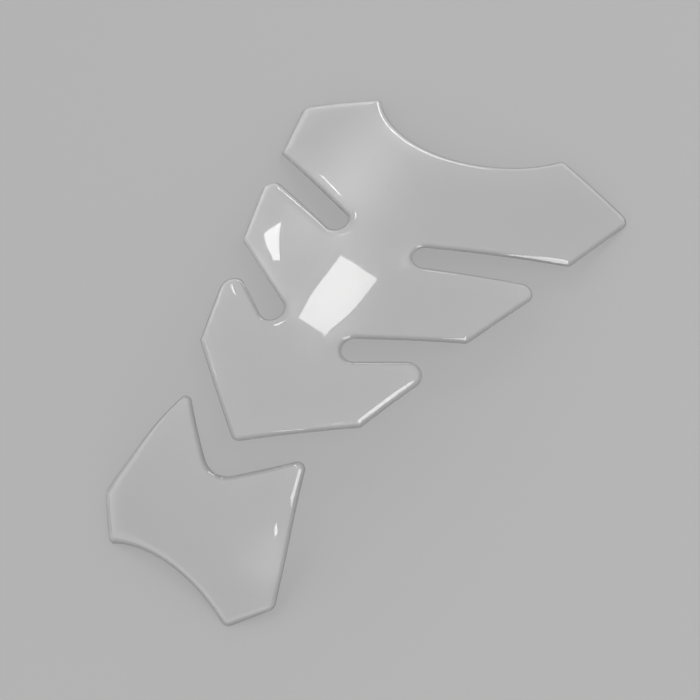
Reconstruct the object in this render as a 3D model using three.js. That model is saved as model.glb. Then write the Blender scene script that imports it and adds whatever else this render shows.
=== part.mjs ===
// Motorcycle tank pad: two clear domed resin mouldings, shaped as they lie on the crown of a fuel tank.
// Millimetres, +Z up. X runs across the tank, +Y towards the front, and the rider sits at -Y.
// Each pad is drawn flat first, as it is cast. Reach is measured across from the centre line, and
// station along it, towards the front. The flat pad is then laid over a crown that bends both ways.

import * as THREE from 'three';
import { mergeVertices } from 'three/addons/utils/BufferGeometryUtils.js';

// Front bay, horns and shoulders of the upper pad
const hornReach = 51;
const hornStation = 105;
const bayDepth = 25.5;
const shoulderReach = 92;
const shoulderStation = 89.5;

// Three wings a side. A slot parts the first from the second, and another the second from the third
const frontWingReach = 79;
const frontWingStation = 51.5;
const middleWingReach = 76;
const middleWingStation = 36;
const middleHeelReach = 59.5;
const middleHeelStation = -6;
const rearWingReach = 57.5;
const rearWingStation = -17.5;
const hipReach = 41.5;
const hipStation = -60;
const tipStation = -90;

// Inner ends of the slots
const slotEndRadius = 5.5;
const frontSlotReach = 23.5;
const frontSlotStation = 22;
const rearSlotReach = 21.5;
const rearSlotStation = -32.5;

// Lower pad, measured from the bottom of its notch, which stands clear of the upper pad's tip
const notchClearance = 17;
const notchHornReach = 30.5;
const notchDepth = 26;
const notchBow = 0.5;
const flankReach = 46;
const flankBack = 31;
const flankBow = 0.8;
const tailReach = 31.5;
const tailBack = 47.5;
const tailBayDepth = 10;

// Corner radii
const hornFillet = 2.5;
const shoulderFillet = 5;
const frontWingFillet = 2.5;
const middleWingFillet = 5;
const middleHeelFillet = 3;
const rearWingFillet = 6;
const hipFillet = 2;
const tipFillet = 4;
const notchFillet = 11.5;
const notchHornFillet = 3;
const flankFillet = 4.5;
const tailFillet = 3;

// Section: from a thin cut edge the resin rises in a meniscus to its full thickness
const padThickness = 2.2;
const edgeThickness = 0.3;
const meniscusWidth = 6.5;

// Crown: radii along and across the tank, each easing from a front value to a rear one
const frontLengthRadius = 2000;
const rearLengthRadius = 166;
const lengthBlendStation = -63.5;
const lengthBlendSpan = 69;
const frontCrossRadius = 405;
const rearCrossRadius = 153;
const crossBlendStation = -104.5;
const crossBlendSpan = 36;

// Fineness of the faceted solids
const edgeStep = 4.5;
const fieldStep = 8;
const fieldClearance = 4.8;
const spineStep = 2;
const arcStep = Math.PI / 11;
const meniscusRings = 5;
const ringCrowding = 1.6;
const leastFillet = 0.4;
const onLineSlack = 1e-6;
const weldDistance = 1e-4;

const flat = (reach, station) => new THREE.Vector2(reach, station);

// A quarter turn to the left. Outlines run anticlockwise, so this points from an edge into the resin
const leftOf = (direction) => flat(-direction.y, direction.x);

// One corner of an outline: its place, its fillet, and the centre of the edge that leaves it where
// that edge is an arc. An arc is hollow, with its centre outside the resin, unless it is full.
function corner(at, fillet = 0, arcCentre = null, full = false) {
  return { at, fillet, arcCentre, full };
}

// Centre of the arc between two points that stands off their chord by a given depth
function centreOfArc(from, to, depth, full = false) {
  const chord = to.clone().sub(from);
  const radius = (chord.lengthSq() / 4 + depth * depth) / (2 * depth);
  const side = leftOf(chord.normalize()).multiplyScalar(full ? 1 : -1);
  return from.clone().add(to).multiplyScalar(0.5).addScaledVector(side, radius - depth);
}

// Where a straight edge from a corner touches a slot's round end, which it passes on its right or left
function touchPoint(from, centre, onRight) {
  const toCentre = centre.clone().sub(from);
  const distance = Math.max(toCentre.length(), slotEndRadius);
  const lean = Math.asin(slotEndRadius / distance);
  const heading = toCentre.angle() + (onRight ? lean : -lean);
  const length = Math.sqrt(distance ** 2 - slotEndRadius ** 2);
  return from.clone().add(flat(Math.cos(heading), Math.sin(heading)).multiplyScalar(length));
}

function slotEnd(wingBehind, centre, wingAhead) {
  return [
    corner(touchPoint(wingBehind, centre, true), 0, centre),
    corner(touchPoint(wingAhead, centre, false)),
  ];
}

// Adds the left half to a right half that is listed from rear to front. A corner on the centre line
// isn't repeated, and rearBay is the centre of an arc that crosses that line at the rear.
function closeByMirror(rightHalf, rearBay = null) {
  const mirrored = (point) => point && flat(-point.x, point.y);
  const leftHalf = rightHalf.map((right, i) => {
    const edge = i > 0 ? rightHalf[i - 1] : { arcCentre: rearBay, full: false };
    return corner(mirrored(right.at), right.fillet, mirrored(edge.arcCentre), edge.full);
  });
  return [...rightHalf, ...leftHalf.filter((left) => left.at.x !== 0).reverse()];
}

function upperOutline() {
  const tip = flat(0, tipStation);
  const rearWing = flat(rearWingReach, rearWingStation);
  const middleHeel = flat(middleHeelReach, middleHeelStation);
  const middleWing = flat(middleWingReach, middleWingStation);
  const frontWing = flat(frontWingReach, frontWingStation);
  const horn = flat(hornReach, hornStation);
  const frontBay = centreOfArc(horn, flat(-hornReach, hornStation), bayDepth);
  return closeByMirror([
    corner(tip, tipFillet),
    corner(flat(hipReach, hipStation), hipFillet),
    corner(rearWing, rearWingFillet),
    ...slotEnd(rearWing, flat(rearSlotReach, rearSlotStation), middleHeel),
    corner(middleHeel, middleHeelFillet),
    corner(middleWing, middleWingFillet),
    ...slotEnd(middleWing, flat(frontSlotReach, frontSlotStation), frontWing),
    corner(frontWing, frontWingFillet),
    corner(flat(shoulderReach, shoulderStation), shoulderFillet),
    corner(horn, hornFillet, frontBay),
  ]);
}

function lowerOutline() {
  const notch = flat(0, tipStation - notchClearance);
  const tail = flat(tailReach, notch.y - tailBack);
  const flank = flat(flankReach, notch.y - flankBack);
  const notchHorn = flat(notchHornReach, notch.y + notchDepth);
  const rearBay = centreOfArc(flat(-tail.x, tail.y), tail, tailBayDepth);
  const notchSide = centreOfArc(notchHorn, notch, notchBow);
  return closeByMirror([
    corner(tail, tailFillet),
    corner(flank, flankFillet, centreOfArc(flank, notchHorn, flankBow, true), true),
    corner(notchHorn, notchHornFillet, notchSide),
    corner(notch, notchFillet, flat(-notchSide.x, notchSide.y)),
  ], rearBay);
}

// Direction of the edge that leaves one corner for the next, where it passes a given point
function edgeDirection(from, to, where) {
  if (!from.arcCentre) return to.at.clone().sub(from.at).normalize();
  const spoke = where.clone().sub(from.arcCentre).normalize();
  return leftOf(spoke).multiplyScalar(from.full ? 1 : -1);
}

// Angle from one direction to another, positive to the left
function turnBetween(before, after) {
  return Math.atan2(before.cross(after), before.dot(after));
}

// A fillet's points. An inset outline's outward corners get sharper and its inward ones rounder.
function filletPoints(at, arriving, leaving, fillet, inset) {
  const turn = turnBetween(arriving, leaving);
  const spread = 1 + arriving.dot(leaving);
  const vertex = at.clone().addScaledVector(leftOf(arriving).add(leftOf(leaving)), inset / spread);
  if (fillet === 0) return [vertex];
  const side = Math.sign(turn);
  const radius = side > 0 ? Math.max(fillet - inset, leastFillet) : fillet + inset;
  const start = vertex.addScaledVector(arriving, -radius * Math.tan(Math.abs(turn) / 2));
  const centre = start.clone().addScaledVector(leftOf(arriving), side * radius);
  const count = 2 * Math.ceil(Math.abs(turn) / arcStep / 2);
  const step = turn / count;
  return Array.from({ length: count + 1 }, (_, i) => start.clone().rotateAround(centre, step * i));
}

// Points strictly between an edge's two ends, as many on each inset outline as on the outline itself
function edgePoints(from, to, start, end) {
  const centre = from.arcCentre;
  const between = (count, place) => Array.from({ length: count - 1 }, (_, i) => place((i + 1) / count));
  if (!centre) {
    const count = Math.ceil(from.at.distanceTo(to.at) / edgeStep);
    return between(count, (share) => start.clone().lerp(end, share));
  }
  const sweepOf = (a, b) => {
    const sweep = turnBetween(a.clone().sub(centre), b.clone().sub(centre));
    const wayRound = from.full ? 2 * Math.PI : -2 * Math.PI;
    return sweep * wayRound < 0 ? sweep + wayRound : sweep;
  };
  const baseSweep = Math.abs(sweepOf(from.at, to.at));
  const chordAngle = Math.min(arcStep, edgeStep / from.at.distanceTo(centre));
  const sweep = sweepOf(start, end);
  const growth = end.distanceTo(centre) / start.distanceTo(centre);
  return between(2 * Math.ceil(baseSweep / chordAngle / 2), (share) => {
    const spoke = start.clone().sub(centre).multiplyScalar(1 + (growth - 1) * share);
    return spoke.rotateAround(flat(0, 0), sweep * share).add(centre);
  });
}

// The outline moved into the resin by the inset, as one closed ring of points
function ringOf(outline, inset) {
  const count = outline.length;
  const corners = outline.map((here, i) => {
    const before = outline[(i + count - 1) % count];
    const arriving = edgeDirection(before, here, here.at);
    const leaving = edgeDirection(here, outline[(i + 1) % count], here.at);
    return filletPoints(here.at, arriving, leaving, here.fillet, inset);
  });
  return corners.flatMap((points, i) => {
    const next = (i + 1) % count;
    return [...points, ...edgePoints(outline[i], outline[next], points.at(-1), corners[next][0])];
  });
}

// The circle through three points, as Delaunay's rule needs it
function triangleOn(points, a, b, c) {
  const ab = points[b].clone().sub(points[a]);
  const ac = points[c].clone().sub(points[a]);
  const centre = leftOf(ab).multiplyScalar(ac.lengthSq()).sub(leftOf(ac).multiplyScalar(ab.lengthSq()));
  centre.divideScalar(2 * ab.cross(ac));
  return { corners: [a, b, c], centre: centre.clone().add(points[a]), radiusSq: centre.lengthSq() };
}

// Delaunay triangles over loose points: each new point replaces the triangles whose circle holds it.
// It starts from one triangle that is far larger than the pad, and drops that one's corners at the end.
function triangulate(loosePoints) {
  const far = 100 * shoulderReach;
  const circleSlack = 1e-9;
  const outer = [flat(-far, -far), flat(far, -far), flat(0, far)];
  const points = [...loosePoints, ...outer];
  const count = loosePoints.length;
  let triangles = [triangleOn(points, ...outer.map((_, k) => count + k))];
  for (let i = 0; i < count; i++) {
    const holds = ({ centre, radiusSq }) => centre.distanceToSquared(points[i]) < radiusSq - circleSlack;
    const rim = new Map();
    for (const { corners } of triangles.filter(holds)) {
      corners.forEach((a, k) => {
        const b = corners[(k + 1) % 3];
        if (!rim.delete(`${b} ${a}`)) rim.set(`${a} ${b}`, [a, b]);
      });
    }
    triangles = triangles.filter((triangle) => !holds(triangle));
    for (const [a, b] of rim.values()) triangles.push(triangleOn(points, a, b, i));
  }
  return triangles.map(({ corners }) => corners).filter((corners) => Math.max(...corners) < count);
}

function isInside(point, ring) {
  let inside = false;
  ring.forEach((a, i) => {
    const b = ring[(i + 1) % ring.length];
    const crosses = (a.y > point.y) !== (b.y > point.y);
    if (crosses && point.x < a.x + (b.x - a.x) * (point.y - a.y) / (b.y - a.y)) inside = !inside;
  });
  return inside;
}

// Evenly spread points inside one half of a ring, in rows that are shifted by half a step in turn
function fieldInside(half, rim) {
  const rowStep = fieldStep * Math.sqrt(3) / 2;
  const reach = Math.max(...half.map((point) => point.x));
  const lowest = Math.min(...half.map((point) => point.y));
  const highest = Math.max(...half.map((point) => point.y));
  const field = [];
  for (let row = 0; lowest + row * rowStep < highest; row++) {
    const firstPlace = row % 2 ? fieldStep / 2 : fieldStep;
    for (let x = firstPlace; x < reach; x += fieldStep) {
      const point = flat(x, lowest + row * rowStep);
      const clear = rim.every((other) => other.distanceTo(point) > fieldClearance);
      if (clear && isInside(point, half)) field.push(point);
    }
  }
  return field;
}

// Flat triangles that fill a ring. The right half is filled, then mirrored.
function fillRing(ring) {
  const onRight = ring.filter((point) => point.x > -onLineSlack);
  const half = onRight.map((point) => flat(Math.max(point.x, 0), point.y));
  const onLine = half.filter((point) => point.x < onLineSlack).map((point) => point.y);
  const [rear, front] = [Math.min(...onLine), Math.max(...onLine)];
  const lineSteps = Math.ceil((front - rear) / fieldStep);
  const lineStep = (front - rear) / lineSteps;
  const line = Array.from({ length: lineSteps + 1 }, (_, i) => flat(0, rear + lineStep * i));
  const rim = [...half.filter((point) => point.x > onLineSlack), ...line];
  const points = [...rim, ...fieldInside(half, rim)];
  const triangles = triangulate(points).map((corners) => corners.map((i) => points[i]));
  const right = triangles.filter(([a, b, c]) => {
    return isInside(a.clone().add(b).add(c).divideScalar(3), half);
  });
  const left = right.map(([a, b, c]) => [c, b, a].map((point) => flat(-point.x, point.y)));
  return [...right, ...left];
}

// Curvature at a station, easing from the front value to the rear one about the blend station
function easedCurvature(station, frontRadius, rearRadius, blendStation, blendSpan) {
  const ease = THREE.MathUtils.smoothstep(blendStation - station, -blendSpan / 2, blendSpan / 2);
  return 1 / frontRadius + (1 / rearRadius - 1 / frontRadius) * ease;
}

const lengthCurvature = (station) => {
  return easedCurvature(station, frontLengthRadius, rearLengthRadius, lengthBlendStation, lengthBlendSpan);
};
const crossCurvature = (station) => {
  return easedCurvature(station, frontCrossRadius, rearCrossRadius, crossBlendStation, crossBlendSpan);
};

// The crown's centre line, walked in short steps from station 0: where it is, and how steeply it climbs
function spineAt(station) {
  const steps = Math.max(1, Math.ceil(Math.abs(station) / spineStep));
  const step = station / steps;
  const spine = { y: 0, z: 0, climb: 0 };
  for (let i = 0; i < steps; i++) {
    const turn = step * lengthCurvature((i + 0.5) * step);
    spine.y += step * Math.cos(spine.climb - turn / 2);
    spine.z += step * Math.sin(spine.climb - turn / 2);
    spine.climb -= turn;
  }
  return spine;
}

// A point of the flat pad, with its height in the resin, laid over the crown
function onCrown(point, height) {
  const spine = spineAt(point.y);
  const bend = crossCurvature(point.y);
  const lean = point.x * bend;
  const rise = (Math.cos(lean) - 1) / bend + height * Math.cos(lean);
  return new THREE.Vector3(
    Math.sin(lean) / bend + height * Math.sin(lean),
    spine.y - rise * Math.sin(spine.climb),
    spine.z + rise * Math.cos(spine.climb),
  );
}

// Height of the resin at a distance in from the cut edge
function meniscusHeight(inset) {
  const share = Math.min(inset / meniscusWidth, 1);
  return edgeThickness + (padThickness - edgeThickness) * (1 - (1 - share) ** 3);
}

// One moulding: glued back, cut edge, meniscus in rings that crowd towards the edge, and level top
function domedPad(outline) {
  const positions = [];
  const face = (...points) => points.forEach((point) => positions.push(point.x, point.y, point.z));
  const shares = Array.from({ length: meniscusRings + 1 }, (_, i) => i / meniscusRings);
  const insets = shares.map((share) => meniscusWidth * share ** ringCrowding);
  const rings = insets.map((inset) => ringOf(outline, inset));
  const levels = rings.map((ring, i) => ring.map((point) => onCrown(point, meniscusHeight(insets[i]))));
  levels.unshift(rings[0].map((point) => onCrown(point, 0)));
  for (let level = 0; level + 1 < levels.length; level++) {
    const [low, high] = [levels[level], levels[level + 1]];
    low.forEach((here, i) => {
      const next = (i + 1) % low.length;
      face(here, low[next], high[next]);
      face(here, high[next], high[i]);
    });
  }
  for (const [a, b, c] of fillRing(rings.at(-1))) {
    face(...[a, b, c].map((point) => onCrown(point, padThickness)));
  }
  for (const [a, b, c] of fillRing(rings[0])) {
    face(...[c, b, a].map((point) => onCrown(point, 0)));
  }
  const geometry = new THREE.BufferGeometry();
  geometry.setAttribute('position', new THREE.Float32BufferAttribute(positions, 3));
  const solid = mergeVertices(geometry, weldDistance);
  solid.computeVertexNormals();
  return solid;
}

// Clear polyurethane resin, poured and cured glossy, over whatever it is stuck to
function clearResin() {
  return new THREE.MeshStandardMaterial({
    color: 0xd9dcda, roughness: 0.06, metalness: 0, transparent: true, opacity: 0.35,
  });
}

function namedPad(name, outline) {
  const pad = new THREE.Mesh(domedPad(outline), clearResin());
  pad.name = name;
  return pad;
}

// Tilts the set so that it rests level on its lowest front and rear points, and stands it on z = 0
function layDown(group) {
  const points = group.children.flatMap(({ geometry: { attributes: { position } } }) => {
    const pointAt = (i) => new THREE.Vector3().fromBufferAttribute(position, i);
    return Array.from({ length: position.count }, (_, i) => pointAt(i));
  });
  const axis = new THREE.Vector3(1, 0, 0);
  const tiltPasses = 12;
  let tilt = 0;
  const lowestOf = (candidates) => {
    return candidates.reduce((best, point) => {
      const turned = point.clone().applyAxisAngle(axis, tilt);
      return turned.z < best.z ? turned : best;
    }, new THREE.Vector3(0, 0, Infinity));
  };
  const frontPoints = points.filter((point) => point.y > 0);
  const rearPoints = points.filter((point) => point.y <= 0);
  for (let pass = 0; pass < tiltPasses; pass++) {
    const [front, rear] = [lowestOf(frontPoints), lowestOf(rearPoints)];
    tilt -= Math.atan2(front.z - rear.z, front.y - rear.y);
  }
  group.rotation.x = tilt;
  group.updateMatrixWorld(true);
  const box = new THREE.Box3().setFromObject(group, true);
  group.position.set(-(box.min.x + box.max.x) / 2, -(box.min.y + box.max.y) / 2, -box.min.z);
}

const tankPad = new THREE.Group();
tankPad.add(namedPad('upper_pad', upperOutline()), namedPad('lower_pad', lowerOutline()));
layDown(tankPad);

export default tankPad;
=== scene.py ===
# %% [markdown]
# # A clear domed tank pad, from a flat pattern to a finished render
#
# A tank pad keeps a rider's jacket from scratching the paint of a fuel tank. This one comes as two
# mouldings, a large upper pad and a small lower pad. Each is cut flat from a clear film, and clear
# polyurethane resin is poured on it. The resin runs to the cut edge and stops there, held by its own
# surface tension, so it cures with a glossy domed rim. Then the soft pad is pressed on the tank and
# takes its curve.
#
# The lesson follows that order: draw the flat pattern, fill it with an even mesh, raise the resin and
# bend it over the crown with Geometry Nodes, then give it its finish, a floor, lamps and a camera.
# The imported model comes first, because every piece has to lie where its solid lies.

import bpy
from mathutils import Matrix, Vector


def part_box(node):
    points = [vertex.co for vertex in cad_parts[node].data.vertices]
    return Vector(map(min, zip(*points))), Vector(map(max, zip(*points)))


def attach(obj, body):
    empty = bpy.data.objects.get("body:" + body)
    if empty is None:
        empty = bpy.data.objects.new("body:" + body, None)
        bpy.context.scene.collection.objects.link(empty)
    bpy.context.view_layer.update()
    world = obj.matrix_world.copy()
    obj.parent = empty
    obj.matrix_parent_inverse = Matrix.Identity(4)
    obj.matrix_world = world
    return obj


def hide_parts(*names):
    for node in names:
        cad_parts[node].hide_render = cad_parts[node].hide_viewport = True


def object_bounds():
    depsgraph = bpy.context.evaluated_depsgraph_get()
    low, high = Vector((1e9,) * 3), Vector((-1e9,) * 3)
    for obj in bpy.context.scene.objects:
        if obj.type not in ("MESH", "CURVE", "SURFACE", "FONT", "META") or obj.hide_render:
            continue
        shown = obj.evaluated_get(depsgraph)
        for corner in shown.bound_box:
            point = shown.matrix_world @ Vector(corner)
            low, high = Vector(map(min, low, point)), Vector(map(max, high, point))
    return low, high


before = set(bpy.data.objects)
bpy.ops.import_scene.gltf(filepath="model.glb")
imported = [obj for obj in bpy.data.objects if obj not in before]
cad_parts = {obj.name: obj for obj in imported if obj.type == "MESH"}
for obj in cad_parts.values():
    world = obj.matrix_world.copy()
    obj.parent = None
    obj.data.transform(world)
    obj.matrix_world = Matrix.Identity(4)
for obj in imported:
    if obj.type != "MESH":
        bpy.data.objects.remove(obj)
cad_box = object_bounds()
print("solids:", sorted(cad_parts), "box:", [tuple(round(c, 4) for c in p) for p in cad_box])

# %% [markdown]
# ## The flat pattern of the upper pad
#
# A pattern is easiest to draw as a cutter would: in millimetres, one half, with the centre line of
# the bike as its mirror line. Reach is how far a corner stands out from that line, and station is how
# far forward it lies. A complex number holds both, reach as its real part and station as its
# imaginary part. Multiplying by 1j then turns a direction by a quarter turn, and adding shifts it, so
# the drawing needs no vector library.

# %% Corners of the upper pad, in millimetres
import bpy
import cmath
import math
import numpy as np
from collections import namedtuple

MM = 0.001

HORN = 51 + 105j
BAY_DEPTH = 25.5
SHOULDER = 92 + 89.5j
FRONT_WING = 79 + 51.5j
MIDDLE_WING = 76 + 36j
MIDDLE_HEEL = 59.5 - 6j
REAR_WING = 57.5 - 17.5j
HIP = 41.5 - 60j
TIP = 0 - 90j

SLOT_END_RADIUS = 5.5
FRONT_SLOT = 23.5 + 22j
REAR_SLOT = 21.5 - 32.5j
print("upper pad:", 2 * SHOULDER.real, "mm across the shoulders")

# %% [markdown]
# ## The flat pattern of the lower pad
#
# The lower pad nests under the upper pad's tip, so its corners are measured from the bottom of its
# notch. Moving the notch then moves the whole pad, and the gap between the two stays even.

# %% Corners of the lower pad, in millimetres
NOTCH = TIP - 17j
NOTCH_HORN = NOTCH + 30.5 + 26j
NOTCH_BOW = 0.5
FLANK = NOTCH + 46 - 31j
FLANK_BOW = 0.8
TAIL = NOTCH + 31.5 - 47.5j
TAIL_BAY_DEPTH = 10
print("lower pad:", 2 * FLANK.real, "mm across the flanks")

# %% [markdown]
# ## Corners, arcs and slots
#
# Each corner carries the radius that its cutter leaves, and where the edge that leaves it is an arc,
# the centre of that arc. A hollow arc has its centre outside the resin and a full one inside it. The
# sides of a slot run from a wing's corner to where they just touch the slot's round end. Only the
# right half is drawn, and the left half is its mirror image, so the pad can't come out lopsided.

# %% Helpers for the outline
Corner = namedtuple("Corner", "at fillet centre full", defaults=(0, None, False))


def unit(direction):
    return direction / abs(direction)


def centre_of_arc(start, end, depth, full=False):
    radius = (abs(end - start) ** 2 / 4 + depth**2) / (2 * depth)
    side = 1j if full else -1j
    return (start + end) / 2 + side * unit(end - start) * (radius - depth)


def slot_end(wing_behind, centre, wing_ahead):
    touches = []
    for wing, side in ((wing_behind, 1), (wing_ahead, -1)):
        distance = abs(centre - wing)
        lean = side * math.asin(SLOT_END_RADIUS / distance)
        length = math.sqrt(distance**2 - SLOT_END_RADIUS**2)
        touches.append(wing + length * unit(centre - wing) * cmath.rect(1, lean))
    return [Corner(touches[0], 0, centre), Corner(touches[1])]


def close_by_mirror(right_half, rear_bay=None):
    def mirrored(point):
        return None if point is None else -point.conjugate()

    before = [Corner(0, 0, rear_bay)] + right_half[:-1]
    left_half = [
        Corner(mirrored(here.at), here.fillet, mirrored(edge.centre), edge.full)
        for here, edge in zip(right_half, before)
    ]
    return right_half + [here for here in reversed(left_half) if here.at.real != 0]


touch = slot_end(MIDDLE_WING, FRONT_SLOT, FRONT_WING)[0].at
print("the front slot's rear side ends at reach", round(touch.real, 1), "station", round(touch.imag, 1))

# %% [markdown]
# ## The two outlines
#
# The corners are listed anticlockwise, from the rear to the front up the right-hand side. The front
# bay of the upper pad and the tail bay of the lower one are hollow arcs that cross the centre line.
# The lower pad's flanks are slightly full and the sides of its notch slightly hollow, which keeps
# them from looking bent inwards or outwards once they lie on a curved tank.

# %% Outlines
upper_outline = close_by_mirror([
    Corner(TIP, 4),
    Corner(HIP, 2),
    Corner(REAR_WING, 6),
    *slot_end(REAR_WING, REAR_SLOT, MIDDLE_HEEL),
    Corner(MIDDLE_HEEL, 3),
    Corner(MIDDLE_WING, 5),
    *slot_end(MIDDLE_WING, FRONT_SLOT, FRONT_WING),
    Corner(FRONT_WING, 2.5),
    Corner(SHOULDER, 5),
    Corner(HORN, 2.5, centre_of_arc(HORN, -HORN.conjugate(), BAY_DEPTH)),
])
notch_side = centre_of_arc(NOTCH_HORN, NOTCH, NOTCH_BOW)
lower_outline = close_by_mirror([
    Corner(TAIL, 3),
    Corner(FLANK, 4.5, centre_of_arc(FLANK, NOTCH_HORN, FLANK_BOW, full=True), True),
    Corner(NOTCH_HORN, 3, notch_side),
    Corner(NOTCH, 11.5, -notch_side.conjugate()),
], rear_bay=centre_of_arc(-TAIL.conjugate(), TAIL, TAIL_BAY_DEPTH))
print("corners:", len(upper_outline), "upper,", len(lower_outline), "lower")

# %% [markdown]
# ## Rounded corners at any inset
#
# The resin rises fastest at the cut edge, so the mesh has to be finest there. The outline is repeated
# as rings that step into the pad, close together at first and wider apart further in. On such an
# inset ring an outward corner gets sharper and an inward corner rounder, as the paths of a cutter
# with an offset do. Each corner keeps its number of points on every ring.

# %% Points of one rounded corner
ARC_STEP = math.radians(7)
LEAST_FILLET = 0.35


def turn_between(before, after):
    return cmath.phase(after / before)


def fillet_points(at, arriving, leaving, fillet, inset):
    turn = turn_between(arriving, leaving)
    vertex = at + 1j * (arriving + leaving) * inset / (1 + (arriving.conjugate() * leaving).real)
    if fillet == 0:
        return [vertex]
    side = math.copysign(1, turn)
    radius = max(fillet - side * inset, LEAST_FILLET)
    start = vertex - arriving * radius * math.tan(abs(turn) / 2)
    centre = start + 1j * arriving * side * radius
    count = max(2, math.ceil(abs(turn) / ARC_STEP))
    return [centre + (start - centre) * cmath.rect(1, turn * i / count) for i in range(count + 1)]


print("points of a 4 mm corner:", len(fillet_points(TIP, unit(2 - 1j), unit(2 + 1j), 4, 0)))

# %% [markdown]
# ## Rings that step into the pad
#
# Between two corners an edge is divided into equal steps, straight or about the centre of its arc.
# Every ring divides it into as many, so neighbouring rings join as neat quads. A Boolean or an inset
# tool would need less code, but it changes the number of points wherever a corner runs out of room.

# %% One closed ring
EDGE_STEP = 1.25


def edge_direction(start, end, where):
    if start.centre is None:
        return unit(end.at - start.at)
    return unit(where - start.centre) * (1j if start.full else -1j)


def sweep_about(centre, start, end, full):
    sweep = turn_between(start - centre, end - centre)
    way_round = math.tau if full else -math.tau
    return sweep + way_round if sweep * way_round < 0 else sweep


def edge_points(start, end, first, last):
    if start.centre is None:
        count = math.ceil(abs(end.at - start.at) / EDGE_STEP)
        return [first + (last - first) * i / count for i in range(1, count)]
    centre = start.centre
    whole = abs(sweep_about(centre, start.at, end.at, start.full))
    count = math.ceil(whole / min(ARC_STEP, EDGE_STEP / abs(start.at - centre)))
    sweep = sweep_about(centre, first, last, start.full)
    growth = abs(last - centre) / abs(first - centre) - 1
    return [
        centre + (first - centre) * (1 + growth * i / count) * cmath.rect(1, sweep * i / count)
        for i in range(1, count)
    ]


def ring_of(outline, inset):
    following = outline[1:] + outline[:1]
    preceding = outline[-1:] + outline[:-1]
    fillets = []
    for before, here, after in zip(preceding, outline, following):
        arriving = edge_direction(before, here, here.at)
        leaving = edge_direction(here, after, here.at)
        fillets.append(fillet_points(here.at, arriving, leaving, here.fillet, inset))
    ring = []
    for i, here in enumerate(outline):
        after = fillets[(i + 1) % len(outline)]
        ring += fillets[i] + edge_points(here, following[i], fillets[i][-1], after[0])
    return ring


print("points on the outlines:", len(ring_of(upper_outline, 0)), len(ring_of(lower_outline, 0)))

# %% [markdown]
# ## An even field of points
#
# Inside the last ring the resin is level, and an even field of points keeps its reflections smooth
# once the pad is bent. The points stand in rows, every other row shifted by half a step, as bubbles
# pack. A point belongs to the pad if a ray from it crosses the ring an odd number of times. Points
# that would crowd the ring are left out.

# %% Points inside a ring
MENISCUS_WIDTH = 6.5
FIELD_STEP = 1.6
FIELD_CLEARANCE = 0.6 * FIELD_STEP


def inside_ring(points, ring):
    inside = np.zeros(len(points), bool)
    for a, b in zip(ring, np.roll(ring, -1)):
        if a.imag != b.imag:
            crosses = (a.imag > points.imag) != (b.imag > points.imag)
            at = a.real + (b.real - a.real) * (points.imag - a.imag) / (b.imag - a.imag)
            inside ^= crosses & (points.real < at)
    return inside


def field_inside(ring):
    rows = np.arange(ring.imag.min(), ring.imag.max(), FIELD_STEP * math.sqrt(3) / 2)
    reach = math.ceil(np.abs(ring.real).max() / FIELD_STEP)
    across = np.arange(-reach, reach + 1)
    shift = 0.5 * (np.arange(len(rows)) % 2)
    points = ((across[None, :] + shift[:, None]) * FIELD_STEP + 1j * rows[:, None]).ravel()
    points = points[inside_ring(points, ring)]
    clear = [np.abs(ring - point).min() > FIELD_CLEARANCE for point in points]
    return points[clear]


lower_field = field_inside(np.array(ring_of(lower_outline, MENISCUS_WIDTH)))
print("field points in the lower pad:", len(lower_field))

# %% [markdown]
# ## The flat sheet
#
# The rings become strips of quads. Blender's own Delaunay tool then joins the last ring and the field
# without long thin triangles. A grid cut to shape by a Boolean would be quicker to write, but it
# leaves slivers along the rim, just where gloss shows them.

# %% Build both flat sheets
from mathutils.geometry import delaunay_2d_cdt

MENISCUS_RINGS = 12
RING_CROWDING = 1.5
FILL_INSIDE = 1
SAME_POINT = 1e-6


def flat_sheet(name, outline):
    shares = np.arange(MENISCUS_RINGS + 1) / MENISCUS_RINGS
    rings = [np.array(ring_of(outline, MENISCUS_WIDTH * share**RING_CROWDING)) for share in shares]
    count = len(rings[0])
    quads = []
    for level in range(MENISCUS_RINGS):
        outer, inner = level * count, (level + 1) * count
        for i in range(count):
            j = (i + 1) % count
            quads.append((outer + i, outer + j, inner + j, inner + i))
    middle = np.concatenate([rings[-1], field_inside(rings[-1])])
    flat_points = [(p.real, p.imag) for p in middle]
    last_ring = list(range(count))
    found = delaunay_2d_cdt(flat_points, [], [last_ring], FILL_INSIDE, SAME_POINT)
    kept_points, faces = found[0], found[2]
    assert len(kept_points) == len(middle), "the field must keep its points"
    base = MENISCUS_RINGS * count
    triangles = [tuple(base + i for i in face) for face in faces]
    points = np.concatenate(rings[:-1] + [middle])
    mesh = bpy.data.meshes.new(name)
    mesh.from_pydata([(p.real * MM, p.imag * MM, 0) for p in points], [], quads + triangles)
    sheet = bpy.data.objects.new(name, mesh)
    bpy.context.scene.collection.objects.link(sheet)
    print(name, "flat sheet:", len(points), "points,", len(quads), "quads,", len(triangles), "triangles")
    return sheet


upper_pad = flat_sheet("upper_pad_resin", upper_outline)
lower_pad = flat_sheet("lower_pad_resin", lower_outline)

# %% [markdown]
# ## One small helper for every node tree
#
# Shader trees and geometry trees are built the same way: make a node, set its properties, fill its
# inputs. An input takes a plain value, a socket, or a node, which stands for its first output. A list
# of sockets goes into an input that takes several links.
#
# Several sockets of a Mix node share one name, so its colours are found by their numbers.

# %% Helper: add a node
COLOUR_A = 6
COLOUR_B = 7
MIXED_COLOUR = 2


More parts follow.
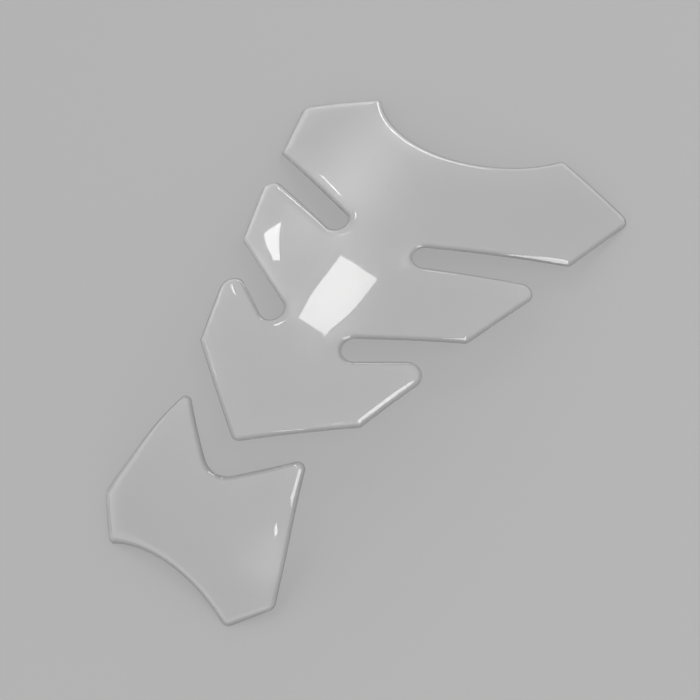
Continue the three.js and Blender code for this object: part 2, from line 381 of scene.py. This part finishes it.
def add(tree, kind, inputs=(), **settings):
    made = tree.nodes.new(kind)
    for name, value in settings.items():
        setattr(made, name, value)
    named = inputs.items() if isinstance(inputs, dict) else enumerate(inputs)
    for key, value in named:
        for source in value if isinstance(value, list) else [value]:
            if isinstance(source, bpy.types.Node):
                tree.links.new(source.outputs[0], made.inputs[key])
            elif isinstance(source, bpy.types.NodeSocket):
                tree.links.new(source, made.inputs[key])
            else:
                made.inputs[key].default_value = source
    return made


print("helper ready:", add.__name__)

# %% [markdown]
# ## Colours and light through clear layers
#
# Colours are written as a picture editor shows them, as sRGB hex, and one function turns them into the
# linear values that a shader works with.
#
# A path tracer finds a lamp behind clear resin only by luck. Rays that go to a lamp, or that carry soft
# light from the floor, therefore pass through a plain film, and only rays that the eye follows meet
# the real resin. It is a usual shortcut for clear things, and it keeps their shadows pale and clean.

# %% Helpers: linear colours, and a film for the rays of light
def linear(hex_colour):
    channels = [int(hex_colour[i : i + 2], 16) / 255 for i in (1, 3, 5)]
    return (*[c / 12.92 if c <= 0.04045 else ((c + 0.055) / 1.055) ** 2.4 for c in channels], 1)


def new_tree(material):
    material.use_nodes = True
    material.node_tree.nodes.clear()
    return material.node_tree


def with_film_for_light(tree, shader, film_colour):
    path = add(tree, "ShaderNodeLightPath").outputs
    light_rays = [path["Is Shadow Ray"], path["Is Diffuse Ray"]]
    for_light = add(tree, "ShaderNodeMath", light_rays, operation="MAXIMUM")
    film = add(tree, "ShaderNodeBsdfTransparent", [film_colour])
    surface = add(tree, "ShaderNodeMixShader", [for_light, shader, film])
    add(tree, "ShaderNodeOutputMaterial", {"Surface": surface})


print("a mid grey in linear light:", [round(c, 3) for c in linear("#808080")])

# %% [markdown]
# ## Cast clear polyurethane
#
# The pads are polyurethane resin, mixed from two clear parts, poured and left to level. Poured resin
# needs no polish: its free surface is as smooth as water, so the eye sees sharp reflections of the
# lamps, a bright or dark line where the rim bends the light, and whatever lies behind the pad.
# A Principled shader with full transmission gives all three, with the IOR of cast polyurethane.
# A faint wave, some 20 mm long, is what levelling leaves, and it keeps the reflections from looking
# computed. Handling leaves the gloss a trace less sharp in broad patches, some 60 mm across. Noise
# seldom strays far from one half, so only its middle values are spread over the range of the gloss.
# The base colour turns darker towards the cut edge, over its last 2 mm. That is painted shade: it
# deepens the dark line that shadow and bent light leave along the rim. The film for light is
# darkest where the rim stands steep to the ray and throws its light aside.

# %% Material: cast clear polyurethane
RESIN_TINT = "#F9F9F9"
# Painted shade along the rim: the darkest base colour at the cut edge, and how far in it reaches.
PAINTED_RIM_SHADE_TINT = "#BDBDBD"
PAINTED_RIM_SHADE_WIDTH = 2.0 * MM
FILM_TINT = "#F7F7F7"
STEEP_FILM_TINT = "#BDBDBD"
RESIN_IOR = 1.49
WAVE_LENGTH = 20 * MM
WAVE_HEIGHT = 0.012 * MM
PATCH_LENGTH = 60 * MM
NOISE_LOW, NOISE_HIGH = 0.3, 0.7
CLEAREST_GLOSS, DULLEST_GLOSS = 0.012, 0.04
RIM_START, RIM_FULL = 0.25, 0.7


# Painted shade: mixes the base colour towards a darker grey near the cut edge, for the rim's dark line.
def with_painted_rim_shade(tree, clear_tint):
    inset = add(tree, "ShaderNodeAttribute", attribute_name="inset").outputs["Fac"]
    rim_shade_share = add(tree, "ShaderNodeMapRange", [inset, 0, PAINTED_RIM_SHADE_WIDTH, 1, 0])
    tints = {"Factor": rim_shade_share, COLOUR_A: linear(clear_tint), COLOUR_B: linear(PAINTED_RIM_SHADE_TINT)}
    return add(tree, "ShaderNodeMix", tints, data_type="RGBA").outputs[MIXED_COLOUR]


def cast_clear_polyurethane():
    material = bpy.data.materials.new("cast_clear_polyurethane")
    tree = new_tree(material)
    place = add(tree, "ShaderNodeTexCoord").outputs["Object"]
    patches = add(tree, "ShaderNodeTexNoise", {"Vector": place, "Scale": 1 / PATCH_LENGTH, "Detail": 3})
    roughness = add(tree, "ShaderNodeMapRange", [
        patches, NOISE_LOW, NOISE_HIGH, CLEAREST_GLOSS, DULLEST_GLOSS,
    ])
    wave = add(tree, "ShaderNodeTexNoise", {"Vector": place, "Scale": 1 / WAVE_LENGTH, "Detail": 1})
    bump = add(tree, "ShaderNodeBump", {"Strength": 1, "Distance": WAVE_HEIGHT, "Height": wave})
    resin = add(tree, "ShaderNodeBsdfPrincipled", {
        "Base Color": with_painted_rim_shade(tree, RESIN_TINT),
        "Roughness": roughness,
        "IOR": RESIN_IOR,
        "Transmission Weight": 1,
        "Normal": bump,
    })
    steepness = add(tree, "ShaderNodeLayerWeight", {"Blend": 0.5}).outputs["Facing"]
    rim = add(tree, "ShaderNodeMapRange", [
        steepness, RIM_START, RIM_FULL, 0, 1,
    ], interpolation_type="SMOOTHSTEP")
    films = {"Factor": rim, COLOUR_A: linear(FILM_TINT), COLOUR_B: linear(STEEP_FILM_TINT)}
    film = add(tree, "ShaderNodeMix", films, data_type="RGBA").outputs[MIXED_COLOUR]
    with_film_for_light(tree, resin, film)
    return material


resin = cast_clear_polyurethane()
print("material:", resin.name, "with", len(resin.node_tree.nodes), "nodes")

# %% [markdown]
# ## The glued back
#
# The back carries a clear acrylic adhesive, rolled on in a film of some hundredths of a millimetre. It
# is soft and satin, not glossy, so the pad shows no second, ghostly set of reflections from its
# underside. It also has a slight milky haze, which takes the light and the rim's shadow, much as paint
# under the pad does. The haze is the small share of light that isn't transmitted. The film's grain is
# drawn coarser than the real one, so that it shows. Its base colour darkens towards the cut edge, as
# the resin's does, which is painted shade for the dark line along the rim.

# %% Material: clear acrylic adhesive
ADHESIVE_TINT = "#EDEDED"
ADHESIVE_CLEARNESS = 0.75
ADHESIVE_IOR = 1.47
GRAIN_LENGTH = 1.5 * MM
SMOOTHEST_SATIN, ROUGHEST_SATIN = 0.16, 0.26


def clear_acrylic_adhesive():
    material = bpy.data.materials.new("clear_acrylic_adhesive")
    tree = new_tree(material)
    place = add(tree, "ShaderNodeTexCoord").outputs["Object"]
    grain = add(tree, "ShaderNodeTexNoise", {"Vector": place, "Scale": 1 / GRAIN_LENGTH, "Detail": 2})
    roughness = add(tree, "ShaderNodeMapRange", [
        grain, NOISE_LOW, NOISE_HIGH, SMOOTHEST_SATIN, ROUGHEST_SATIN,
    ])
    adhesive = add(tree, "ShaderNodeBsdfPrincipled", {
        # Painted shade: the base colour darkens towards the cut edge, as on the resin.
        "Base Color": with_painted_rim_shade(tree, ADHESIVE_TINT),
        "Roughness": roughness,
        "IOR": ADHESIVE_IOR,
        "Transmission Weight": ADHESIVE_CLEARNESS,
    })
    with_film_for_light(tree, adhesive, linear(FILM_TINT))
    return material


adhesive = clear_acrylic_adhesive()
print("material:", adhesive.name, "with", len(adhesive.node_tree.nodes), "nodes")

# %% [markdown]
# ## A tree with named sizes
#
# The pads' shape follows two rules, the rise of the resin and the bend of the tank, so Geometry Nodes
# make both pads with one tree. Its sizes are named inputs, and anyone can lay the same pads on another
# tank by changing them. A curvature is one over a radius, so it is zero for a straight line.

# %% Geometry Nodes: inputs of the tree
SIZES = {
    "Thickness": 2.2 * MM,
    "Edge Thickness": 0.3 * MM,
    "Meniscus Width": MENISCUS_WIDTH * MM,
    "First Station": 130 * MM,
    "Spine Step": 0.27 * MM,
    "Length Blend Front": -29 * MM,
    "Length Blend Rear": -98 * MM,
    "Front Length Curvature": 1 / (2000 * MM),
    "Rear Length Curvature": 1 / (166 * MM),
    "Cross Blend Front": -86.5 * MM,
    "Cross Blend Rear": -122.5 * MM,
    "Front Cross Curvature": 1 / (405 * MM),
    "Rear Cross Curvature": 1 / (153 * MM),
}

tree = bpy.data.node_groups.new("resin_on_crown", "GeometryNodeTree")
tree.interface.new_socket("Geometry", in_out="INPUT", socket_type="NodeSocketGeometry")
for name, size in SIZES.items():
    socket = tree.interface.new_socket(name, in_out="INPUT", socket_type="NodeSocketFloat")
    socket.default_value = size
for name in ("Resin", "Adhesive"):
    tree.interface.new_socket(name, in_out="INPUT", socket_type="NodeSocketMaterial")
tree.interface.new_socket("Geometry", in_out="OUTPUT", socket_type="NodeSocketGeometry")
given = add(tree, "NodeGroupInput").outputs
print("inputs of the tree:", len(SIZES) + 2)

# %% [markdown]
# ## Raising the resin
#
# The first rule is the meniscus. An edge with a single face beside it is part of the rim. Geometry
# Proximity measures how far each point lies from it, and the resin's height falls along a cubic curve
# from full thickness to the thin edge, where it is steepest. At a corner two edges are equally near,
# which would leave a crease, and a real liquid has none. Blur Attribute smooths the height there, more
# and more away from the rim, so that the rim itself keeps its line. The distance is stored as well, for
# the painted shade that darkens the colour towards the cut edge.

# %% Geometry Nodes: height of the resin above the film
FALL_POWER = 3
CORNER_SMOOTHING = 24
RIM_HOLD = 2.5 * MM

faces_beside = add(tree, "GeometryNodeInputMeshEdgeNeighbors")
is_rim = add(tree, "ShaderNodeMath", [faces_beside, 2], operation="LESS_THAN")
rim = add(tree, "GeometryNodeSeparateGeometry", [given["Geometry"], is_rim], domain="EDGE")
near_rim = add(tree, "GeometryNodeProximity", {"Target": rim}, target_element="EDGES")
inset = near_rim.outputs["Distance"]
sheet = add(tree, "GeometryNodeStoreNamedAttribute", {
    "Geometry": given["Geometry"], "Name": "inset", "Value": inset,
}, data_type="FLOAT", domain="POINT")
share_left = add(tree, "ShaderNodeMapRange", [inset, 0, given["Meniscus Width"], 1, 0])
fall = add(tree, "ShaderNodeMath", [share_left, FALL_POWER], operation="POWER")
height = add(tree, "ShaderNodeMapRange", [fall, 0, 1, given["Thickness"], given["Edge Thickness"]])
smoothing = add(tree, "ShaderNodeMapRange", [inset, 0, RIM_HOLD, 0, 1])
smooth_height = add(tree, "GeometryNodeBlurAttribute", {
    "Value": height, "Iterations": CORNER_SMOOTHING, "Weight": smoothing,
}, data_type="FLOAT")
print("nodes so far:", len(tree.nodes))

# %% [markdown]
# ## Top, cut edge and back
#
# The raised sheet becomes the top. Its rim is extruded straight down to the film's underside as the
# cut edge, and a turned-over copy of the flat sheet closes the back, which is the glued face. Merging
# the doubles makes one closed solid, which clear resin needs, because light bends once on the way in
# and once on the way out. The back is marked, so that it can get the adhesive at the end.

# %% Geometry Nodes: close the solid
WELD_DISTANCE = 0.01 * MM

raised = add(tree, "ShaderNodeCombineXYZ", {"Z": smooth_height})
top = add(tree, "GeometryNodeSetPosition", {"Geometry": sheet, "Offset": raised})
down = add(tree, "ShaderNodeCombineXYZ", {"Z": -1})
walled = add(tree, "GeometryNodeExtrudeMesh", {
    "Mesh": top, "Selection": is_rim, "Offset": down, "Offset Scale": given["Edge Thickness"],
}, mode="EDGES")
turned_over = add(tree, "GeometryNodeFlipFaces", [sheet])
back = add(tree, "GeometryNodeStoreNamedAttribute", {
    "Geometry": turned_over, "Name": "glued", "Value": True,
}, data_type="BOOLEAN", domain="FACE")
shells = add(tree, "GeometryNodeJoinGeometry", [[back, walled]])
solid = add(tree, "GeometryNodeMergeByDistance", {"Geometry": shells, "Distance": WELD_DISTANCE})
print("nodes so far:", len(tree.nodes))

# %% [markdown]
# ## The crown's centre line
#
# The second rule is the tank's crown, which bends along the bike and across it. Along the bike it is
# nearly straight at the front and turns down hard towards the rider. The tree walks that line
# rearwards in over a thousand small steps. One Accumulate Field adds up the curvature and gives the
# slope, and another adds up the steps, each turned by its slope, and gives the place. The result is a
# real curve, on which any station can be found by its length. A drawn curve would be only near the
# rule.

# %% Geometry Nodes: walk the centre line
SPINE_POINTS = 1200

line = add(tree, "GeometryNodeMeshLine", {"Count": SPINE_POINTS}, mode="OFFSET", count_mode="TOTAL")
index = add(tree, "GeometryNodeInputIndex")
steps_to_middle = add(tree, "ShaderNodeMath", [index, 0.5], operation="ADD")
length_walked = add(tree, "ShaderNodeMath", [
    steps_to_middle, given["Spine Step"],
], operation="MULTIPLY")
station = add(tree, "ShaderNodeMath", [given["First Station"], length_walked], operation="SUBTRACT")
along = add(tree, "ShaderNodeMapRange", [
    station, given["Length Blend Front"], given["Length Blend Rear"],
    given["Front Length Curvature"], given["Rear Length Curvature"],
], interpolation_type="SMOOTHSTEP")
bend = add(tree, "ShaderNodeMath", [along, given["Spine Step"]], operation="MULTIPLY")
bends_before = add(tree, "GeometryNodeAccumulateField", [bend], data_type="FLOAT").outputs["Trailing"]
slope = add(tree, "ShaderNodeMath", [bend, 0.5, bends_before], operation="MULTIPLY_ADD")
rearwards = add(tree, "ShaderNodeMath", [given["Spine Step"], -1], operation="MULTIPLY")
level_step = add(tree, "ShaderNodeCombineXYZ", {"Y": rearwards})
step = add(tree, "ShaderNodeVectorRotate", {"Vector": level_step, "Angle": slope}, rotation_type="X_AXIS")
walk = add(tree, "GeometryNodeAccumulateField", {"Value": step}, data_type="FLOAT_VECTOR")
laid = add(tree, "GeometryNodeSetPosition", {"Geometry": line, "Position": walk.outputs["Trailing"]})
spine = add(tree, "GeometryNodeMeshToCurve", [laid])
print("nodes so far:", len(tree.nodes))

# %% [markdown]
# ## Bending the pads over the crown
#
# Each point of the flat solid finds its station on the centre line and is lifted there by its height.
# Then it swings sideways about an axis that lies one cross radius below the line, by its reach over
# that radius. Lengths along the bike and across it stay what they were on the flat pad, as they do
# when a soft pad is pressed on. A lattice or a Curve modifier would stretch it.

# %% Geometry Nodes: lift and swing every point
flat_place = add(tree, "ShaderNodeSeparateXYZ", [add(tree, "GeometryNodeInputPosition")]).outputs
length = add(tree, "ShaderNodeMath", [given["First Station"], flat_place["Y"]], operation="SUBTRACT")
on_spine = add(tree, "GeometryNodeSampleCurve", {"Curves": spine, "Length": length}, mode="LENGTH").outputs
up = add(tree, "ShaderNodeVectorMath", [on_spine["Tangent"], (1, 0, 0)], operation="CROSS_PRODUCT")
across = add(tree, "ShaderNodeMapRange", [
    flat_place["Y"], given["Cross Blend Front"], given["Cross Blend Rear"],
    given["Front Cross Curvature"], given["Rear Cross Curvature"],
], interpolation_type="SMOOTHSTEP")
lean = add(tree, "ShaderNodeMath", [flat_place["X"], across], operation="MULTIPLY")
down_to_axis = add(tree, "ShaderNodeMath", [-1, across], operation="DIVIDE")
on_line = on_spine["Position"]
lifted = add(tree, "ShaderNodeVectorMath", [up, flat_place["Z"], on_line], operation="MULTIPLY_ADD")
axis = add(tree, "ShaderNodeVectorMath", [up, down_to_axis, on_line], operation="MULTIPLY_ADD")
place = add(tree, "ShaderNodeVectorRotate", {
    "Vector": lifted, "Center": axis, "Axis": on_spine["Tangent"], "Angle": lean,
}, rotation_type="AXIS_ANGLE", invert=True)
bent = add(tree, "GeometryNodeSetPosition", {"Geometry": solid, "Position": place})
print("nodes so far:", len(tree.nodes))

# %% [markdown]
# ## Shading and materials
#
# Gloss shows every facet, so the faces are shaded smooth, apart from the sharp corners at the cut
# edge, which are found by the angle between their two faces. Everything gets the resin, and then the
# marked back gets the adhesive.

# %% Geometry Nodes: shading, materials and output
SHARP_ANGLE = math.radians(30)

smooth = add(tree, "GeometryNodeSetShadeSmooth", {"Geometry": bent, "Shade Smooth": True}, domain="FACE")
corner_angle = add(tree, "GeometryNodeInputMeshEdgeAngle").outputs["Unsigned Angle"]
is_sharp = add(tree, "ShaderNodeMath", [corner_angle, SHARP_ANGLE], operation="GREATER_THAN")
creased = add(tree, "GeometryNodeSetShadeSmooth", {
    "Geometry": smooth, "Selection": is_sharp, "Shade Smooth": False,
}, domain="EDGE")
plain = add(tree, "GeometryNodeRealizeInstances", [creased])
poured = add(tree, "GeometryNodeSetMaterial", {"Geometry": plain, "Material": given["Resin"]})
is_glued = add(tree, "GeometryNodeInputNamedAttribute", {"Name": "glued"}, data_type="BOOLEAN")
finished = add(tree, "GeometryNodeSetMaterial", {
    "Geometry": poured, "Selection": is_glued, "Material": given["Adhesive"],
})
add(tree, "NodeGroupOutput", [finished])
print("nodes in the tree:", len(tree.nodes))

# %% [markdown]
# ## Running the tree
#
# Each sheet gets the tree as a modifier. Its inputs are set by their identifiers before anything is
# evaluated. The result is then read back as a plain mesh, and the modifier goes, so that nothing is
# left to compute when the pads are moved or exported.

# %% Run the tree on both sheets
identifiers = {item.name: item.identifier for item in tree.interface.items_tree if item.in_out == "INPUT"}


def cast(sheet):
    modifier = sheet.modifiers.new("resin_on_crown", "NODES")
    modifier.node_group = tree
    for name, value in {**SIZES, "Resin": resin, "Adhesive": adhesive}.items():
        modifier[identifiers[name]] = value
    depsgraph = bpy.context.evaluated_depsgraph_get()
    made = bpy.data.meshes.new_from_object(sheet.evaluated_get(depsgraph), depsgraph=depsgraph)
    sheet.modifiers.remove(modifier)
    flat = sheet.data
    sheet.data = made
    bpy.data.meshes.remove(flat)
    made.name = sheet.name
    triangles = sum(len(face.vertices) - 2 for face in made.polygons)
    glued = sum(made.materials[face.material_index] == adhesive for face in made.polygons)
    print(sheet.name, "cast:", triangles, "triangles,", glued, "glued faces")


cast(upper_pad)
cast(lower_pad)

# %% [markdown]
# ## Laying the set down
#
# The solids rest level on their lowest front and rear points. The fine meshes are turned by the same
# rule: both together, about the axis across the bike, until those two points are equally high. The
# lowest points change a little as the pads turn, so the turn is found in a few rounds. Then the middle
# of their box goes to the middle of the solids' box, and their lowest point to the floor.

# %% Turn and place both pads
from mathutils import Matrix

LEVELLING_ROUNDS = 12


def points_of(piece):
    flat_list = np.zeros(len(piece.data.vertices) * 3, np.float32)
    piece.data.vertices.foreach_get("co", flat_list)
    return flat_list.reshape(-1, 3).astype(float)


def lay_down(pieces, target_box):
    points = np.concatenate([points_of(piece) for piece in pieces])
    middle_y = (points[:, 1].max() + points[:, 1].min()) / 2
    tilt = 0.0
    for _ in range(LEVELLING_ROUNDS):
        high = points[:, 1] * math.sin(tilt) + points[:, 2] * math.cos(tilt)
        along_bike = points[:, 1] * math.cos(tilt) - points[:, 2] * math.sin(tilt)
        in_front = points[:, 1] > middle_y
        front = np.argmin(np.where(in_front, high, np.inf))
        rear = np.argmin(np.where(in_front, np.inf, high))
        tilt -= math.atan2(high[front] - high[rear], along_bike[front] - along_bike[rear])
    turn = Matrix.Rotation(tilt, 4, "X")
    turned = points @ np.array(turn.to_3x3()).T
    low, high = turned.min(axis=0), turned.max(axis=0)
    target_low, target_high = (np.array(corner) for corner in target_box)
    shift = (target_low + target_high) / 2 - (low + high) / 2
    shift[2] = target_low[2] - low[2]
    for piece in pieces:
        piece.data.transform(Matrix.Translation(shift) @ turn)
    return math.degrees(tilt)


tilt = lay_down([upper_pad, lower_pad], cad_box)
print("laid down by", round(tilt, 3), "degrees")

# %% [markdown]
# ## Handing the pads to the frame
#
# Each fine pad replaces its solid and rides on the body that carried it. The printed differences
# compare the two boxes in millimetres, and they should be no more than about a tenth.

# %% Ride, replace and compare
for piece, node in ((upper_pad, "upper_pad"), (lower_pad, "lower_pad")):
    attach(piece, "root")
    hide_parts(node)
    own = points_of(piece)
    low, high = (np.array(corner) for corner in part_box(node))
    differences = np.concatenate([own.min(axis=0) - low, own.max(axis=0) - high]) / MM
    print(node, "differs from its solid at its six sides by", np.round(differences, 2), "mm")

# %% [markdown]
# ## A pale studio floor
#
# Clear resin has no colour of its own, so it shows only against something. On a pale grey floor both
# the dark lines and the bright reflections stand out. A white floor would swallow the bright ones.

# %% Floor
FLOOR_COLOUR = "#B6B6B6"
FLOOR_ROUGHNESS = 0.85
FLOOR_SPECULAR = 0.2
FLOOR_SIZE = 8.0


def matt_studio_board():
    material = bpy.data.materials.new("matt_studio_board")
    tree = new_tree(material)
    board = add(tree, "ShaderNodeBsdfPrincipled", {
        "Base Color": linear(FLOOR_COLOUR),
        "Roughness": FLOOR_ROUGHNESS,
        "Specular IOR Level": FLOOR_SPECULAR,
    })
    add(tree, "ShaderNodeOutputMaterial", {"Surface": board})
    return material


half = FLOOR_SIZE / 2
corners = [(-half, -half, 0), (half, -half, 0), (half, half, 0), (-half, half, 0)]
floor_mesh = bpy.data.meshes.new("studio_floor")
floor_mesh.from_pydata(corners, [], [(0, 1, 2, 3)])
floor_mesh.materials.append(matt_studio_board())
floor = bpy.data.objects.new("studio_floor", floor_mesh)
bpy.context.scene.collection.objects.link(floor)
print("floor:", FLOOR_SIZE, "m wide")

# %% [markdown]
# ## Lamps
#
# The pads mirror the lamps, so each lamp is placed where its reflection should fall. A lamp is given
# by its direction from the pads: azimuth from straight ahead towards the right, and height above the
# horizon. A panel high at the front left makes the big bright patch in the middle, a smaller one below
# it the patch on the left wing, one behind the small spot on the lower pad, and a low strip in front the
# fine lines along the front bay and the left slot. The largest, on the right, draws the streaks along
# the other rims and gives the soft shadow on the floor. They hang 3 m away, so that the floor is evenly
# lit, and the camera doesn't see them. A lamp's power is worked out from how bright its face looks.

# %% Lamps
from mathutils import Vector

LAMP_AIM = Vector((0, 0, 20 * MM))
LAMP_DISTANCE = 3.0


def direction(azimuth, height):
    azimuth, height = math.radians(azimuth), math.radians(height)
    flat = math.cos(height)
    return Vector((math.sin(azimuth) * flat, math.cos(azimuth) * flat, math.sin(height)))


def softbox(name, azimuth, height, size, brightness, roll=0):
    light = bpy.data.lights.new(name, "AREA")
    light.shape = "RECTANGLE"
    light.size, light.size_y = size
    light.energy = brightness * math.pi * size[0] * size[1]
    lamp = bpy.data.objects.new(name, light)
    lamp.visible_camera = False
    bpy.context.scene.collection.objects.link(lamp)
    away = direction(azimuth, height)
    lamp.location = LAMP_AIM + away * LAMP_DISTANCE
    lamp.rotation_mode = "QUATERNION"
    spin = Matrix.Rotation(math.radians(roll), 4, "Z").to_quaternion()
    lamp.rotation_quaternion = away.to_track_quat("Z", "Y") @ spin
    return lamp


lamps = [
    softbox("main_panel", -41.3, 51.8, (0.45, 0.49), 7.5, roll=45),
    softbox("left_panel", -56.0, 36.3, (0.36, 0.15), 8, roll=80),
    softbox("rear_panel", 165.4, 56, (0.48, 0.11), 9, roll=-19),
    softbox("right_panel", 90, 61, (1.35, 0.8), 7),
    softbox("front_strip", -28, 14, (1.05, 0.1), 9),
]
print("lamps:", [lamp.name for lamp in lamps])

# %% [markdown]
# ## The room around
#
# A glossy rim mirrors the whole room, so the room is a white wall below a dimmer ceiling. The level
# tops of the pads mirror the ceiling and stay clear, and the steep rims catch the wall as fine pale
# lines. The camera itself, and the eye that looks through the resin, see one plain pale backdrop.

# %% World
ROOM_COLOUR = "#FFFFFF"
WALL_LEVEL = 1.35
CEILING_LEVEL = 0.62
WALL_TOP = math.sin(math.radians(9))
CEILING_BOTTOM = math.sin(math.radians(22))
BACKDROP_COLOUR = "#C0C0C0"

world = bpy.data.worlds.new("white_walled_studio")
bpy.context.scene.world = world
tree = new_tree(world)
ray = add(tree, "ShaderNodeSeparateXYZ", [add(tree, "ShaderNodeTexCoord").outputs["Generated"]]).outputs
level = add(tree, "ShaderNodeMapRange", [
    ray["Z"], WALL_TOP, CEILING_BOTTOM, WALL_LEVEL, CEILING_LEVEL,
], interpolation_type="SMOOTHSTEP")
room = add(tree, "ShaderNodeBackground", {"Color": linear(ROOM_COLOUR), "Strength": level})
backdrop = add(tree, "ShaderNodeBackground", {"Color": linear(BACKDROP_COLOUR), "Strength": 1})
path = add(tree, "ShaderNodeLightPath").outputs
seen_rays = [path["Is Camera Ray"], path["Is Transmission Ray"]]
is_seen = add(tree, "ShaderNodeMath", seen_rays, operation="MAXIMUM")
surroundings = add(tree, "ShaderNodeMixShader", [is_seen, room, backdrop])
add(tree, "ShaderNodeOutputWorld", [surroundings])
print("world:", world.name)

# %% [markdown]
# ## Camera
#
# The camera looks down from the rider's right, at the angle of the photograph. Its place was found by
# matching the pads' mirrored outline, so it is given as a place, a point that it aims at, and a roll
# in degrees.

# %% Camera
CAMERA_PLACE = Vector((126.1, -95.7, 275.8)) * MM
CAMERA_AIM = Vector((19.4, -10.3, 20.0)) * MM
CAMERA_ROLL = -21.3
SENSOR_WIDTH = 36
FOCAL_LENGTH = 36

lens = bpy.data.cameras.new("camera")
lens.sensor_width = SENSOR_WIDTH
lens.lens = FOCAL_LENGTH
camera = bpy.data.objects.new("camera", lens)
bpy.context.scene.collection.objects.link(camera)
camera.location = CAMERA_PLACE
camera.rotation_mode = "QUATERNION"
roll = Matrix.Rotation(math.radians(CAMERA_ROLL), 4, "Z").to_quaternion()
camera.rotation_quaternion = (CAMERA_AIM - CAMERA_PLACE).to_track_quat("-Z", "Y") @ roll
bpy.context.scene.camera = camera
bpy.context.scene.view_settings.view_transform = "Standard"
print("camera at", [round(c, 4) for c in camera.location])
